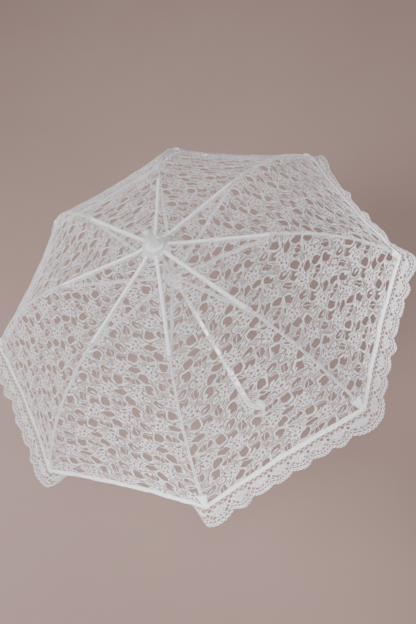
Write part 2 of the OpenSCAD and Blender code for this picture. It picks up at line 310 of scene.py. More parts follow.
# Leaves beside the flowers: place, direction in degrees, half sizes
LEAVES = (
    (17.5, -3.4, -14, 6.6, 3.1), (-18.5, 3.2, 10, 6.8, 3.1), (20.5, 7.6, 24, 6.0, 2.7),
    (-14.0, -7.2, 22, 6.2, 2.7), (46.0, 3.6, 24, 6.2, 3.0), (82.5, 4.4, 30, 7.4, 3.2),
    (79.0, -6.4, -10, 6.4, 2.8), (45.5, -5.2, -22, 6.4, 2.8),
)
SKEW = 0.32  # how far the openings lean along the row
PETALS = 7
RIM_W, THREAD_W, TAIL_W = 1.24, 0.95, 2.8  # widths of the threads round and across openings, and of ribbons


def opening(px, py, a, b, turn, square):
    """Distance inside a skewed opening, from an ellipse at squareness 2 towards a rectangle above it."""
    qx, qy = turned(px - SKEW * py, py, math.radians(turn))
    size = ((np.abs(qx) / a) ** square + (np.abs(qy) / b) ** square) ** (1 / square)
    return (1 - size) * min(a, b)


def lace_flower(px, py, turn):
    """An oval flower of petals in a net: distance inside its threads, how far it stands up, its reach."""
    qx = (px - 0.25 * py) / 1.42
    far = np.hypot(qx, py)
    angle = np.arctan2(py, qx) - turn
    step = math.tau / PETALS
    folded = angle - np.round(angle / step) * step
    between = angle - (np.round(angle / step - 0.5) + 0.5) * step
    reach = 10.6 + 0.9 * np.cos(angle * PETALS) - far
    inside = np.minimum(reach, np.hypot(qx * 1.3, py) - 2.1)
    for place, middle, deep, wide in ((between, 7.0, 1.3, 2.1), (between, 4.0, 0.8, 0.55)):
        gap = ellipse(far * np.cos(place) - middle, far * np.sin(place), deep, wide)
        inside = np.minimum(inside, -gap)
    petal = ellipse(far * np.cos(folded) - 4.6, far * np.sin(folded), 3.2, 2.1)
    return inside, np.clip(petal / 2, 0, 1), reach


def floral_lace(u, v, seed):
    """Distance inside the threads of the floral lace, and the height of its relief, in mm."""
    u = u + 1.4 * np.sin(v / 41 + seed) + 0.8 * np.sin(u / 29 + 2 * seed)
    v = v + 1.3 * np.sin(u / 47 + 3 * seed) + 0.7 * np.sin(v / 23 + seed)
    inside = net_holes(u, v, seed)
    crimp_u = 1.1 * np.sin(u / 3.3 + v / 5.1 + seed)
    crimp_v = 0.8 * np.sin(v / 2.6 - u / 5.7) + 0.5 * np.sin(u / 2.1 + seed)
    u, v = u + crimp_u, v + crimp_v
    raised = np.zeros_like(u)
    for du, dv, turn in ((0, 0, 0.3), (REPEAT / 2, 0, 0.1)):
        px, py = nearest(u, v, du, dv)
        thread, petal, reach = lace_flower(px, py, turn)
        inside = np.where(reach > 0, thread, inside)
        raised = np.maximum(raised, 0.8 * np.sqrt(petal))
    for du, dv, turn, a, b in LEAVES:
        px, py = nearest(u, v, du, dv)
        qx, qy = turned(px, py, math.radians(turn))
        leaf = ellipse(qx, qy, a, b)
        vein = np.minimum(leaf, -ellipse(qx - 0.5, qy, a * 0.55, 0.6))
        inside = np.where(leaf > -0.9, np.where(leaf > 0, vein, leaf), inside)
        raised = np.maximum(raised, 0.6 * np.sqrt(np.clip(leaf / b, 0, 1)))
    for du, dv, a, b, turn, square in OPENINGS:
        hole = opening(*nearest(u, v, du, dv), a, b, turn, square)
        rim = RIM_W / 2 - np.abs(hole + RIM_W / 2)
        inside = np.where(hole > -RIM_W, rim, inside)
        raised = np.where(hole > -1.3, 0.35 * (rim > 0), raised)
    for du, dv, turn, half in THREADS:
        px, py = nearest(u, v, du, dv)
        thread = bar(px, py, math.radians(turn), -half, half, THREAD_W)
        inside = np.maximum(inside, thread)
    for du, dv, a, b, turn, square, side in RIBBONED:
        px, py = nearest(u, v, du, dv)
        hole = opening(px, py, a, b, turn, square)
        facing = np.cos(np.arctan2(py, px) - math.radians(side))
        width = 0.9 + 2.5 * np.clip(0.4 + 0.9 * facing, 0, 1)
        ribbon = np.minimum(-hole, width + hole)
        slit = np.where(facing > 0.2, 0.62 - np.abs(-hole - width - 0.75), -1)
        inside = np.where(hole > -width, ribbon, np.where(slit > 0, -slit, inside))
        raised = np.where(hole > -width - 0.2, 1.1 * np.sqrt(np.clip(ribbon / 1.3, 0, 1)), raised)
    for du, dv, turn, half in TAILS:
        px, py = nearest(u, v, du, dv)
        tail = bar(px, py, math.radians(turn), -half, half, TAIL_W)
        inside = np.maximum(inside, tail)
        raised = np.maximum(raised, 0.9 * np.sqrt(np.clip(tail / (TAIL_W / 2), 0, 1)))
    relief = raised + 0.5 * np.sqrt(np.clip(inside / 0.7, 0, 1))
    return inside, relief


SEAM_BAND, OUTER_SEAM_BAND = 2.6, 1.3  # solid cloth beside a seam, above and below the ribs' joints
HEM_BAND = 4.0
CROWN_PATCH, CROWN_SCALLOPS, CROWN_PLEATS = 20.0, 24, 48  # the gathered patch round the crown


def gore_cloth(x, y, k):
    """Distance inside the lace of one gore, and its relief, over flat coordinates in mm."""
    seed = 1.7 * k
    way = 1 if k % 2 else -1
    inside, relief = floral_lace(way * x + 23 * k + 8, y - HEM + 20 + 9 * math.cos(3.1 * k), seed)
    edge = half_width(y) - np.abs(x)
    seam = np.interp(y, (JOINT_Y - 4, JOINT_Y + 4), (SEAM_BAND, OUTER_SEAM_BAND))
    band = seam / 2 - np.abs(edge - seam / 2)
    inside = np.maximum(inside, band)
    inside = np.maximum(inside, y - (HEM - HEM_BAND))
    round_crown = np.arctan2(x, y + CROWN_HOLE_R)
    patch = CROWN_PATCH + 2.2 * np.cos(round_crown * CROWN_SCALLOPS) - y
    inside = np.maximum(inside, patch)
    pleats = 0.5 * np.cos(round_crown * CROWN_PLEATS)
    relief = np.where(patch > 0, 0.5 + pleats * np.clip(patch / 6, 0, 1), relief)
    relief = relief * np.clip(edge / 3, 0, 1) * np.clip((HEM - y) / 4, 0, 1)
    return np.minimum(inside, edge), relief


# ---------------------------------------------------------------- meshes

def contour(inside):
    """The part of a grid where inside is above 0, cut along the zero line (marching squares).
    Returns each point as two of the grid's nodes and the share between them, with triangles and quads."""
    rows, columns = inside.shape
    number = np.arange(rows * columns).reshape(rows, columns)
    full = inside > 0
    pairs = []

    def edge_ids(a, b):
        """Numbers for the crossing points on the edges from nodes a to nodes b."""
        crossed = full.reshape(-1)[a] != full.reshape(-1)[b]
        ids = np.full(a.shape, -1, np.int64)
        start = sum(len(p) for p in pairs)
        ids[crossed] = start + np.arange(int(crossed.sum()))
        pairs.append(np.stack([a[crossed], b[crossed]], 1))
        return ids

    used = number[full]
    node_ids = np.full(rows * columns, -1, np.int64)
    node_ids[used] = np.arange(len(used))
    node_ids = node_ids.reshape(rows, columns)
    pairs.append(np.stack([used, used], 1))
    along = edge_ids(number[:, :-1], number[:, 1:])
    up = edge_ids(number[:-1, :], number[1:, :])
    corners = [node_ids[:-1, :-1], node_ids[:-1, 1:], node_ids[1:, 1:], node_ids[1:, :-1]]
    edges = [along[:-1, :], up[:, 1:], along[1:, :], up[:, :-1]]
    flags = [c >= 0 for c in corners]
    case = flags[0] * 1 + flags[1] * 2 + flags[2] * 4 + flags[3] * 8
    triangles, quads = [], []
    for kind in range(1, 16):
        here = case == kind
        if not here.any():
            continue
        loop = []
        for i in range(4):
            if kind >> i & 1:
                loop.append(corners[i][here])
            if (kind >> i & 1) != (kind >> (i + 1) % 4 & 1):
                loop.append(edges[i][here])
        if len(loop) == 4:
            quads.append(np.stack(loop, 1))
        else:
            for i in range(1, len(loop) - 1):
                triangles.append(np.stack([loop[0], loop[i], loop[i + 1]], 1))
    pairs = np.concatenate(pairs)
    value = inside.reshape(-1)
    a, b = value[pairs[:, 0]], value[pairs[:, 1]]
    share = np.where(pairs[:, 0] == pairs[:, 1], 0, a / np.where(a == b, 1, a - b))
    return pairs, np.clip(share, 0.02, 0.98), np.concatenate(triangles), np.concatenate(quads)


def between(grid, pairs, share):
    """A grid's values at the points that contour() returned."""
    flat = grid.reshape(-1)
    return flat[pairs[:, 0]] * (1 - share) + flat[pairs[:, 1]] * share


def make_object(name, points, faces, flat):
    """A smooth mesh object from points and a list of face arrays, keeping only the points that are used.
    Flat coordinates in mm become the attribute "flat", in metres, for the cloth's materials."""
    sizes = np.concatenate([np.full(len(f), f.shape[1]) for f in faces])
    loops = np.concatenate([f.reshape(-1) for f in faces])
    used, loops = np.unique(loops, return_inverse=True)
    mesh = bpy.data.meshes.new(name)
    mesh.vertices.add(len(used))
    mesh.vertices.foreach_set("co", points[used].astype(np.float32).reshape(-1))
    mesh.loops.add(len(loops))
    mesh.loops.foreach_set("vertex_index", loops.astype(np.int32))
    mesh.polygons.add(len(sizes))
    mesh.polygons.foreach_set("loop_start", (np.cumsum(sizes) - sizes).astype(np.int32))
    mesh.polygons.foreach_set("loop_total", sizes.astype(np.int32))
    mesh.polygons.foreach_set("use_smooth", np.full(len(sizes), True))
    mesh.update(calc_edges=True)
    layer = mesh.attributes.new("flat", "FLOAT_VECTOR", "POINT")
    vectors = np.zeros((len(used), 3), np.float32)
    vectors[:, :2] = flat[used] * MM
    layer.data.foreach_set("vector", vectors.reshape(-1))
    mesh.validate()
    obj = bpy.data.objects.new(name, mesh)
    bpy.context.scene.collection.objects.link(obj)
    return obj


def swept(rings):
    """Points and faces of a closed tube from an array of rings (stations, points a ring, 3)."""
    stations, around = rings.shape[:2]
    index = np.arange(stations * around).reshape(stations, around)
    right = np.roll(index, -1, 1)
    quads = np.stack([index[:-1], right[:-1], right[1:], index[1:]], -1).reshape(-1, 4)
    return rings.reshape(-1, 3), [quads, index[0][::-1][None, :], index[-1][None, :]]


class Pile:
    """Points and faces gathered from several meshes for one piece."""

    def __init__(self):
        self.points, self.flat, self.faces, self.count = [], [], {}, 0

    def add(self, points, flat, faces):
        for f in faces:
            if len(f):
                self.faces.setdefault(f.shape[1], []).append(f + self.count)
        self.points.append(points)
        self.flat.append(flat)
        self.count += len(points)

    def add_tube(self, rings, across, along):
        """Adds a tube; its flat coordinates across and along may be one row or one column."""
        points, faces = swept(rings)
        flat = np.stack(np.broadcast_arrays(across, along), -1)
        self.add(points, flat.reshape(-1, 2), faces)

    def make(self, name):
        faces = [np.concatenate(f) for f in self.faces.values()]
        return make_object(name, np.concatenate(self.points), faces, np.concatenate(self.flat))


# ---------------------------------------------------------------- materials

class Surface:
    """A node material built step by step; its shader's plain numbers are set on its own sockets."""

    def __init__(self, name, roughness, **settings):
        self.material = bpy.data.materials.new(name)
        self.material.use_nodes = True
        self.nodes = self.material.node_tree.nodes
        self.links = self.material.node_tree.links
        self.nodes.clear()
        self.shader = self.nodes.new("ShaderNodeBsdfPrincipled")
        out = self.nodes.new("ShaderNodeOutputMaterial")
        self.links.new(self.shader.outputs["BSDF"], out.inputs["Surface"])
        self.shader.inputs["Roughness"].default_value = roughness
        for key, value in settings.items():
            self.shader.inputs[key.replace("_", " ")].default_value = value
        self.height = None

    def place(self, attribute=None, stretch=(1, 1, 1)):
        """Object coordinates, or a named attribute, scaled per axis."""
        if attribute:
            source = self.nodes.new("ShaderNodeAttribute")
            source.attribute_name = attribute
            output = source.outputs["Vector"]
        else:
            source = self.nodes.new("ShaderNodeTexCoord")
            output = source.outputs["Object"]
        mapping = self.nodes.new("ShaderNodeMapping")
        mapping.inputs["Scale"].default_value = stretch
        self.links.new(output, mapping.inputs["Vector"])
        return mapping.outputs["Vector"]

    def noise(self, place, scale, detail=3.0, roughness=0.55):
        node = self.nodes.new("ShaderNodeTexNoise")
        node.inputs["Scale"].default_value = scale
        node.inputs["Detail"].default_value = detail
        node.inputs["Roughness"].default_value = roughness
        self.links.new(place, node.inputs["Vector"])
        return node.outputs["Fac"]

    def wave(self, place, scale, direction="X", distortion=0.0):
        node = self.nodes.new("ShaderNodeTexWave")
        node.bands_direction = direction
        node.inputs["Scale"].default_value = scale
        node.inputs["Distortion"].default_value = distortion
        node.inputs["Detail"].default_value = 1.0
        node.inputs["Detail Scale"].default_value = 2.0
        self.links.new(place, node.inputs["Vector"])
        return node.outputs["Fac"]

    def math(self, operation, a, b):
        node = self.nodes.new("ShaderNodeMath")
        node.operation = operation
        for value, slot in ((a, node.inputs[0]), (b, node.inputs[1])):
            if isinstance(value, (int, float)):
                slot.default_value = value
            else:
                self.links.new(value, slot)
        return node.outputs["Value"]

    def ramp(self, value, stops):
        node = self.nodes.new("ShaderNodeValToRGB")
        while len(node.color_ramp.elements) < len(stops):
            node.color_ramp.elements.new(0.5)
        for element, (position, colour) in zip(node.color_ramp.elements, stops):
            element.position = position
            element.color = (*colour, 1)
        self.links.new(value, node.inputs["Fac"])
        return node.outputs["Color"]

    def colour(self, value, stops):
        self.links.new(self.ramp(value, stops), self.shader.inputs["Base Color"])

    def shine(self, value, low, high):
        node = self.nodes.new("ShaderNodeMapRange")
        node.inputs["To Min"].default_value = low
        node.inputs["To Max"].default_value = high
        self.links.new(value, node.inputs["Value"])
        self.links.new(node.outputs["Result"], self.shader.inputs["Roughness"])

    def bump(self, value, distance, strength=1.0):
        node = self.nodes.new("ShaderNodeBump")
        node.inputs["Distance"].default_value = distance
        node.inputs["Strength"].default_value = strength
        self.links.new(value, node.inputs["Height"])
        if self.height is not None:
            self.links.new(self.height, node.inputs["Normal"])
        self.height = node.outputs["Normal"]
        self.links.new(self.height, self.shader.inputs["Normal"])


def lace_material(name):
    """Cotton lace: crossing threads, fuzz, and slightly uneven whites, toned grey as painted shade."""
    s = Surface(name, 0.86, Sheen_Weight=0.06, Sheen_Roughness=0.4, Specular_IOR_Level=0.2)
    cloth = s.place("flat")
    # These whites are kept greyer than the hem and seam cotton. This is painted shade, so the lace reads dimmer
    # than the white frame seen through it.
    s.colour(
        s.noise(cloth, 90, 4),
        [(0.3, (0.62, 0.59, 0.61)), (0.55, (0.70, 0.67, 0.69)), (0.8, (0.77, 0.75, 0.77))],
    )
    warp = s.wave(s.place("flat", (1, 0.25, 1)), 430, "X", 1.5)
    weft = s.wave(s.place("flat", (0.25, 1, 1)), 430, "Y", 1.5)
    s.bump(s.math("MAXIMUM", warp, weft), 0.00025, 0.6)
    s.bump(s.noise(cloth, 1400, 2), 0.0002, 0.4)
    return s.material


def cloth_material(name, whites):
    """Plain woven cotton for hems, seams and gathers."""
    s = Surface(name, 0.78, Sheen_Weight=0.2, Sheen_Roughness=0.4, Specular_IOR_Level=0.25)
    cloth = s.place("flat")
    s.colour(s.noise(cloth, 120, 4), [(0.3, whites[0]), (0.7, whites[1])])
    warp = s.wave(cloth, 500, "X", 0.8)
    weft = s.wave(cloth, 500, "Y", 0.8)
    s.bump(s.math("MULTIPLY", warp, weft), 0.0002, 0.5)
    s.bump(s.noise(cloth, 900, 2), 0.00015, 0.4)
    return s.material


def plastic_material(name, light, dark, roughness, scale=60.0):
    """Moulded plastic: a faint orange peel, flow marks and slightly dulled patches."""
    s = Surface(name, roughness, Coat_Weight=0.08, Coat_Roughness=0.25)
    place = s.place()
    s.colour(s.noise(place, scale, 5), [(0.25, dark), (0.6, light)])
    s.shine(s.noise(place, scale * 2.3, 3), roughness - 0.08, roughness + 0.16)
    s.bump(s.noise(place, 700, 2), 0.00006, 0.5)
    s.bump(s.noise(s.place(stretch=(1, 1, 0.15)), 260, 2), 0.00008, 0.35)
    return s.material


def enamel_material(name, light, dark):
    """White enamel on a steel tube: drawn along its length, with small chips of wear."""
    s = Surface(name, 0.28, Coat_Weight=0.3, Coat_Roughness=0.12)
    along = s.place(stretch=(1, 1, 0.08))
    s.colour(s.noise(along, 220, 5), [(0.3, dark), (0.62, light)])
    s.shine(s.noise(s.place(), 90, 4), 0.2, 0.42)
    s.bump(s.noise(along, 480, 2), 0.00005, 0.5)
    return s.material


def steel_material(name, light, dark, roughness):
    """Drawn steel with fine lines and a little dulling."""
    s = Surface(name, roughness, Metallic=1.0)
    place = s.place()
    s.colour(s.noise(place, 260, 5), [(0.3, dark), (0.7, light)])
    s.shine(s.noise(place, 420, 3), roughness - 0.08, roughness + 0.15)
    s.bump(s.noise(s.place(stretch=(1, 1, 0.1)), 2400, 2), 0.00003, 0.5)
    return s.material


LACE = lace_material("lace_cotton")
EDGE_LACE = lace_material("edging_cotton")
HEM_CLOTH = cloth_material("hem_cotton", ((0.83, 0.82, 0.85), (0.92, 0.91, 0.93)))
SEAM_CLOTH = cloth_material("seam_cotton", ((0.90, 0.89, 0.91), (0.96, 0.955, 0.96)))


# ---------------------------------------------------------------- lace of the canopy

GRID = 0.6  # of the lace's contours, in mm
SIDES = ("left", "right")
RIM_SHARE = 0.6  # where the outer lace of a rib is divided into two pieces


def rib_of(k, flat_x):
    """The rib that a place on gore k belongs to: its own on one side, the next one's on the other."""
    return np.where(flat_x > 0, k, wrap(k + 1))


def share_out(piles, k, points, flat, faces, rim_y=None):
    """Gives each face of gore k to the rib it is nearer to, by side.
    With rim_y, where the rim starts, it goes by its distance from the crown as well."""
    for f in faces:
        middle = flat[f][..., 0].mean(1)
        owner = rib_of(k, middle)
        for rib in (k, wrap(k + 1)):
            mine = owner == rib
            side = "right" if rib == k else "left"
            if rim_y is None:
                piles[rib, side].append((points, flat, f[mine]))
                continue
            reach = (points[f] @ outward(rib_azimuth(rib))).mean(1)
            out = reach > JOINT_R * MM
            low = out & (flat[f][..., 1].mean(1) > rim_y)
            piles[rib, side, "inner"].append((points, flat, f[mine & ~out]))
            piles[rib, side, "outer"].append((points, flat, f[mine & out & ~low]))
            piles[rib, side, "rim"].append((points, flat, f[mine & low]))


def gathered(parts):
    """One pile from a list of parts, each with points, flat coordinates and faces."""
    pile = Pile()
    for points, flat, faces in parts:
        pile.add(points, flat, [faces])
    return pile


def finish_cloth(obj, material, rib, part="hem"):
    """Cloth on one side of a rib, hung on the rib if it is inner cloth and on its wire otherwise, so that it moves
    with them as the frame folds.
    """
    obj.data.materials.append(material)
    inner = part == "inner"
    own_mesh(obj)
    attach(obj, f"rib_{rib}" if inner else f"wire_{rib}")


def build_lace():
    """The lace of the canopy, cut from each gore's pattern and shared out over the ribs."""
    parts = ("inner", "outer", "rim")
    piles = {(k, side, part): [] for k in RIB_NUMBERS for side in SIDES for part in parts}
    rim_y = JOINT_Y + RIM_SHARE * (HEM - JOINT_Y)
    columns = int(math.ceil(half_width(HEM) / GRID))
    xs = np.arange(-columns, columns + 1) * GRID
    ys = np.linspace(0, HEM, int(HEM / GRID))
    x_grid, y_grid = np.meshgrid(xs, ys)
    for k in RIB_NUMBERS:
        inside, relief = gore_cloth(x_grid, y_grid, k)
        pairs, share, triangles, quads = contour(inside)
        x, y = between(x_grid, pairs, share), between(y_grid, pairs, share)
        points = on_gore(k, x, y, between(relief, pairs, share))
        share_out(piles, k, points, np.stack([x, y], 1), (triangles, quads), rim_y)
    for (k, side, part), cut in piles.items():
        obj = gathered(cut).make(f"lace_{part}_{k}_{side}")
        finish_cloth(obj, LACE, k, part)
        if part == "inner" and side == "left":
            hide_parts(f"canopy_gore_{k}")


# ---------------------------------------------------------------- hem and edging

EDGING_W = 40.0
SCALLOPS, SCALLOP_DEPTH = 8, 7  # of one side's edging
EYELET = 5.8  # between eyelets along the scallops
EDGING_NET = 7.0
EDGING_GRID = 0.8
RUFFLE_HEIGHT = 4.6
# How far each side's edging hangs below the horizontal
EDGING_SLOPE = [math.radians(a) for a in (60, 56, 44, 50, 118, 24, 62, 60)]
TUCKED_SIDE = 5  # its edging is folded under and creased down its middle
CREASE_GAP = 0.2  # between the layers beside the crease, as a share of the distance from it
TIP_FLARE = math.radians(40)
TIP_REACH = 46  # how far from a tip the edging turns to hang from it, in mm
HEM_HALF = float(half_width(HEM))


def edging_lace(u, v):
    """Distance inside the threads of the edging and its relief; u runs along it and v down, in mm."""
    length = 2 * HEM_HALF
    scallop = length / SCALLOPS
    rim = EDGING_W - SCALLOP_DEPTH + SCALLOP_DEPTH * np.abs(np.sin(u / scallop * math.pi)) ** 0.75
    inward = rim - v
    along = u - np.round(u / EYELET) * EYELET
    picot = 0.9 * np.cos(u * math.tau / EYELET) - 0.9
    border = np.minimum(inward + picot, 6.4 - inward)
    border = np.minimum(border, np.hypot(along, inward - 3.5) - 1.2)
    inside = border
    relief = 0.6 * np.sqrt(np.clip(border / 1.5, 0, 1))
    arc = 1.0 - np.abs(inward - 10.4)
    posts = np.where((inward > 5) & (inward < 11), 0.65 - np.abs(along), -1)
    inside = np.maximum(inside, np.maximum(arc, posts))
    relief = np.maximum(relief, 0.6 * np.sqrt(np.clip(arc, 0, 1)))
    slant = [(u + s * v) / math.sqrt(2) for s in (-1, 1)]
    net = np.maximum(*[0.62 - np.abs(q - np.round(q / EDGING_NET) * EDGING_NET) for q in slant])
    inside = np.maximum(inside, np.where(inward > 10, net, -1))
    middle = (np.floor(u / scallop) + 0.5) * scallop
    px, py = u - middle, v - 17.5
    ground = ellipse(px, py, 12.5, 8.4)
    inside = np.maximum(inside, np.minimum(ground, pinholes(px, py, 3.9, 1.4)))
    for side in (-1, 1):
        qx, qy = turned(px * side - 11.2, py + 1.5, -0.5)
        leaf = ellipse(qx, qy, 5.6, 2.5)
        inside = np.maximum(inside, np.minimum(leaf, -ellipse(qx, qy, 3.2, 0.6)))
        relief = np.maximum(relief, 0.8 * np.sqrt(np.clip(leaf / 2.5, 0, 1)))
    bloom, dome = flower(px, py, 6, 4.8, 2.7, 0.2)
    inside = np.where(dome > 0, bloom, inside)
    relief = np.maximum(relief, 1.1 * np.sqrt(dome))
    corner = u - np.round(u / scallop) * scallop
    ring = 1.2 - np.abs(np.hypot(corner, v - 16) - 4.2)
    inside = np.where(np.hypot(corner, v - 16) < 4.2, ring, np.maximum(inside, ring))
    relief = np.maximum(relief, 0.8 * np.sqrt(np.clip(ring / 1.2, 0, 1)))
    inside = np.maximum(inside, 4.5 - v)
    return np.minimum(inside, inward + picot), relief


def ruffle(x, k):
    """Soft waves along a strip that was gathered a little before it was sewn, about -1 to 1."""
    return (
        np.sin(x / 9.5 + 1.3 * k)
        + 0.6 * np.sin(x / 5.1 + 2.1 * k)
        + 0.7 * np.sin(x / 17.0 - k)
    ) / 2


def side_frame(k, x):
    """Along gore k's hem: points in mm, the side's outward direction and its nearness to a tip."""
    hem = on_gore(k, x, np.full_like(x, HEM)) / MM
    near = np.clip(1 - (HEM_HALF - np.abs(x)) / TIP_REACH, 0, 1)
    return hem, outward(rib_azimuth(k) - HALF_GORE), near * near * (3 - 2 * near)


def on_edging(k, x, v, lift):
    """Point of gore k's edging in metres, from x along the hem, v down the strip and a lift."""
    hem, out, near = side_frame(k, x)
    slope = EDGING_SLOPE[k - 1]
    tip = np.where(x > 0, k, wrap(k + 1))
    beside = np.where(x > 0, wrap(k - 1), wrap(k + 1))
    tip_slope = np.minimum((slope + np.array(EDGING_SLOPE)[beside - 1]) / 2, TIP_FLARE)
    tip_a = HALF_GORE - GORE_ANGLE * (tip - 1)
    tip_out = np.stack([np.cos(tip_a), np.sin(tip_a), 0 * tip_a], 1) / math.cos(HALF_GORE)
    level = out * (1 - near)[:, None] + tip_out * near[:, None]
    angle = slope * (1 - near) + tip_slope * near
    cos, sin = np.cos(angle)[:, None], np.sin(angle)[:, None]
    step = level * cos - UP * sin
    facing = level * sin + UP * cos
    past_crease = np.clip(v - EDGING_W / 2, 0, None) * (1 - near) if k == TUCKED_SIDE else 0 * v
    reach = v - 2 * past_crease
    wave = ruffle(x, k) * (reach / EDGING_W) * RUFFLE_HEIGHT * (1 - near) + CREASE_GAP * past_crease
    return (hem + step * reach[:, None] + facing * (wave + lift)[:, None]) * MM


def build_edging():
    """The scalloped lace edging that hangs from the hem."""
    piles = {(k, side): [] for k in RIB_NUMBERS for side in SIDES}
    columns = int(HEM_HALF / EDGING_GRID)
    xs = np.linspace(-HEM_HALF, HEM_HALF, 2 * columns + 1)
    vs = np.linspace(0, EDGING_W + 0.5, int(EDGING_W / EDGING_GRID))
    x_grid, v_grid = np.meshgrid(xs, vs)
    inside, relief = edging_lace(x_grid + HEM_HALF, v_grid)
    pairs, share, triangles, quads = contour(inside)
    x, v = between(x_grid, pairs, share), between(v_grid, pairs, share)
    lift = between(relief, pairs, share)
    flat = np.stack([x, v], 1)
    for k in RIB_NUMBERS:
        share_out(piles, k, on_edging(k, x, v, lift), flat, (triangles, quads))
    for (k, side), cut in piles.items():
        obj = gathered(cut).make(f"edging_{k}_{side}")
        finish_cloth(obj, EDGE_LACE, k)


HEM_WIDTH, HEM_THICKNESS = 4.6, 1.5  # half sizes of the hem's casing
HEM_STATIONS, HEM_AROUND = 128, 14


def build_hems():
    """The gathered casing along the hem, a flattened tube with puckers, in halves that meet mid-side."""
    turn = np.linspace(0, math.tau, HEM_AROUND, endpoint=False)
    for k in RIB_NUMBERS:
        x = np.linspace(-HEM_HALF + 1, HEM_HALF - 1, 2 * HEM_STATIONS + 1)
        hem, _, near = side_frame(k, x)
        above = on_gore(k, x, np.full_like(x, HEM - 6)) / MM
        down = hem - above
        down /= np.linalg.norm(down, axis=1)[:, None]
        facing = np.cross(sideways(rib_azimuth(k) - HALF_GORE), down)
        facing *= np.sign(facing[:, 2:3])
        pucker = 0.5 * np.sin(x / 1.05 + 0.8 * np.sin(x / 7 + k)) + 0.5 * np.sin(x / 2.3 + k)
        width = HEM_WIDTH + 0.7 * ruffle(x * 1.3, k + 3) - 1.2 * near
        thick = HEM_THICKNESS + 0.45 * pucker * (1 - near) + 0.5 * near
        sway = 0.9 * ruffle(x * 0.8, k + 5)
        rings = (
            hem[:, None]
            + down[:, None] * (np.cos(turn) * width[:, None] + sway[:, None] - 0.5)[..., None]
            + facing[:, None] * (np.sin(turn) * thick[:, None] + 0.4 * sway[:, None])[..., None]
        ) * MM
        right = (k, "right", slice(HEM_STATIONS, None))
        left = (wrap(k + 1), "left", slice(0, HEM_STATIONS + 1))
        for rib, side, part in (right, left):
            pile = Pile()
            pile.add_tube(rings[part], x[part, None], width[part, None] * turn)
            finish_cloth(pile.make(f"hem_{rib}_{side}"), HEM_CLOTH, rib)


# ---------------------------------------------------------------- seams and tips

TAPE_HALF, TAPE_THICKNESS = 3.6, 0.8
TAPE_ACROSS = np.array([-1, -0.92, -0.5, 0, 0.5, 0.92, 1, 0.92, 0.5, 0, -0.5, -0.92])
TAPE_RISE = np.array([0.25, 0.8, 1.0, 1.15, 1.0, 0.8, 0.25, 0.1, 0.1, 0.1, 0.1, 0.1])
CORD_OFFSET, CORD_RADIUS = 1.75, 0.5
STITCH_OFFSET, STITCH_PITCH, STITCH_LENGTH, STITCH_RADIUS = 2.7, 3.4, 2.5, 0.34
POCKET_START, POCKET_END = -25, 2.2  # of a tip's pleated pocket, along the wire from its tip


def by_seam(k, y, w, lift):
    """Point of the lace w mm to one side of rib k's seam, y mm down from the crown, in metres."""
    y, w, lift = np.broadcast_arrays(np.asarray(y, float), w, lift)
    half = half_width(y)
    own = on_gore(k, half - w, y, lift)
    other = on_gore(wrap(k - 1), -half - w, y, lift)
    middle = (on_gore(k, half, y, lift) + on_gore(wrap(k - 1), -half, y, lift)) / 2
    out = np.where((w > 0)[..., None], own, other)
    return np.where((np.abs(w) < 1e-6)[..., None], middle, out)


def seam_strip(pile, k, start, end):
    """A flat tape over the seam, thicker in the middle."""
    ys = np.arange(start, end, 2.4)[:, None]
    w = (TAPE_ACROSS * TAPE_HALF)[None, :]
    pile.add_tube(by_seam(k, ys, w, (TAPE_RISE * TAPE_THICKNESS)[None, :]), w, ys)


def seam_cord(pile, k, start, end, w0):
    """A thin raised cord w0 mm to one side of the seam."""
    ys = np.arange(start, end, 1.6)
    turn = np.linspace(0, math.tau, 6, endpoint=False)
    size = CORD_RADIUS * (0.85 + 0.15 * np.sin(ys * 1.9))
    w = w0 + np.cos(turn)[None, :] * size[:, None]
    lift = 0.6 + CORD_RADIUS + np.sin(turn)[None, :] * size[:, None]
    pile.add_tube(by_seam(k, ys[:, None], w, lift), w, ys[:, None])


def stitches(pile, k, start, end, w0):
    """Running stitches w0 mm to one side of the seam: short rounded threads along the tape."""
    turn = np.linspace(0, math.tau, 5, endpoint=False)
    share = np.array([0, 0.12, 0.5, 0.88, 1])
    swell = np.array([0.25, 0.9, 1, 0.9, 0.25]) * STITCH_RADIUS
    dip = 0.25 * (1 - swell / STITCH_RADIUS)
    w = w0 + np.cos(turn)[None, :] * swell[:, None]
    lift = TAPE_THICKNESS + np.sin(turn)[None, :] * swell[:, None] - dip[:, None]
    for y in np.arange(start, end - STITCH_PITCH, STITCH_PITCH):
        ys = (y + share * STITCH_LENGTH)[:, None]
        pile.add_tube(by_seam(k, ys, w, lift), w, ys)


def build_seams():
    """A stitched tape over each seam down to the rib's joint, and a pair of cords from there to the hem."""
    for k in RIB_NUMBERS:
        inner, outer = Pile(), Pile()
        seam_strip(inner, k, 14, JOINT_Y)
        for side in (-1, 1):
            stitches(inner, k, 16, JOINT_Y - 1, side * STITCH_OFFSET)
            seam_cord(outer, k, JOINT_Y - 3, HEM - 2, side * CORD_OFFSET)
        for pile, part, body in ((inner, "inner", f"rib_{k}"), (outer, "outer", f"wire_{k}")):
            obj = pile.make(f"seam_{part}_{k}")
            obj.data.materials.append(SEAM_CLOTH)
            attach(obj, body)


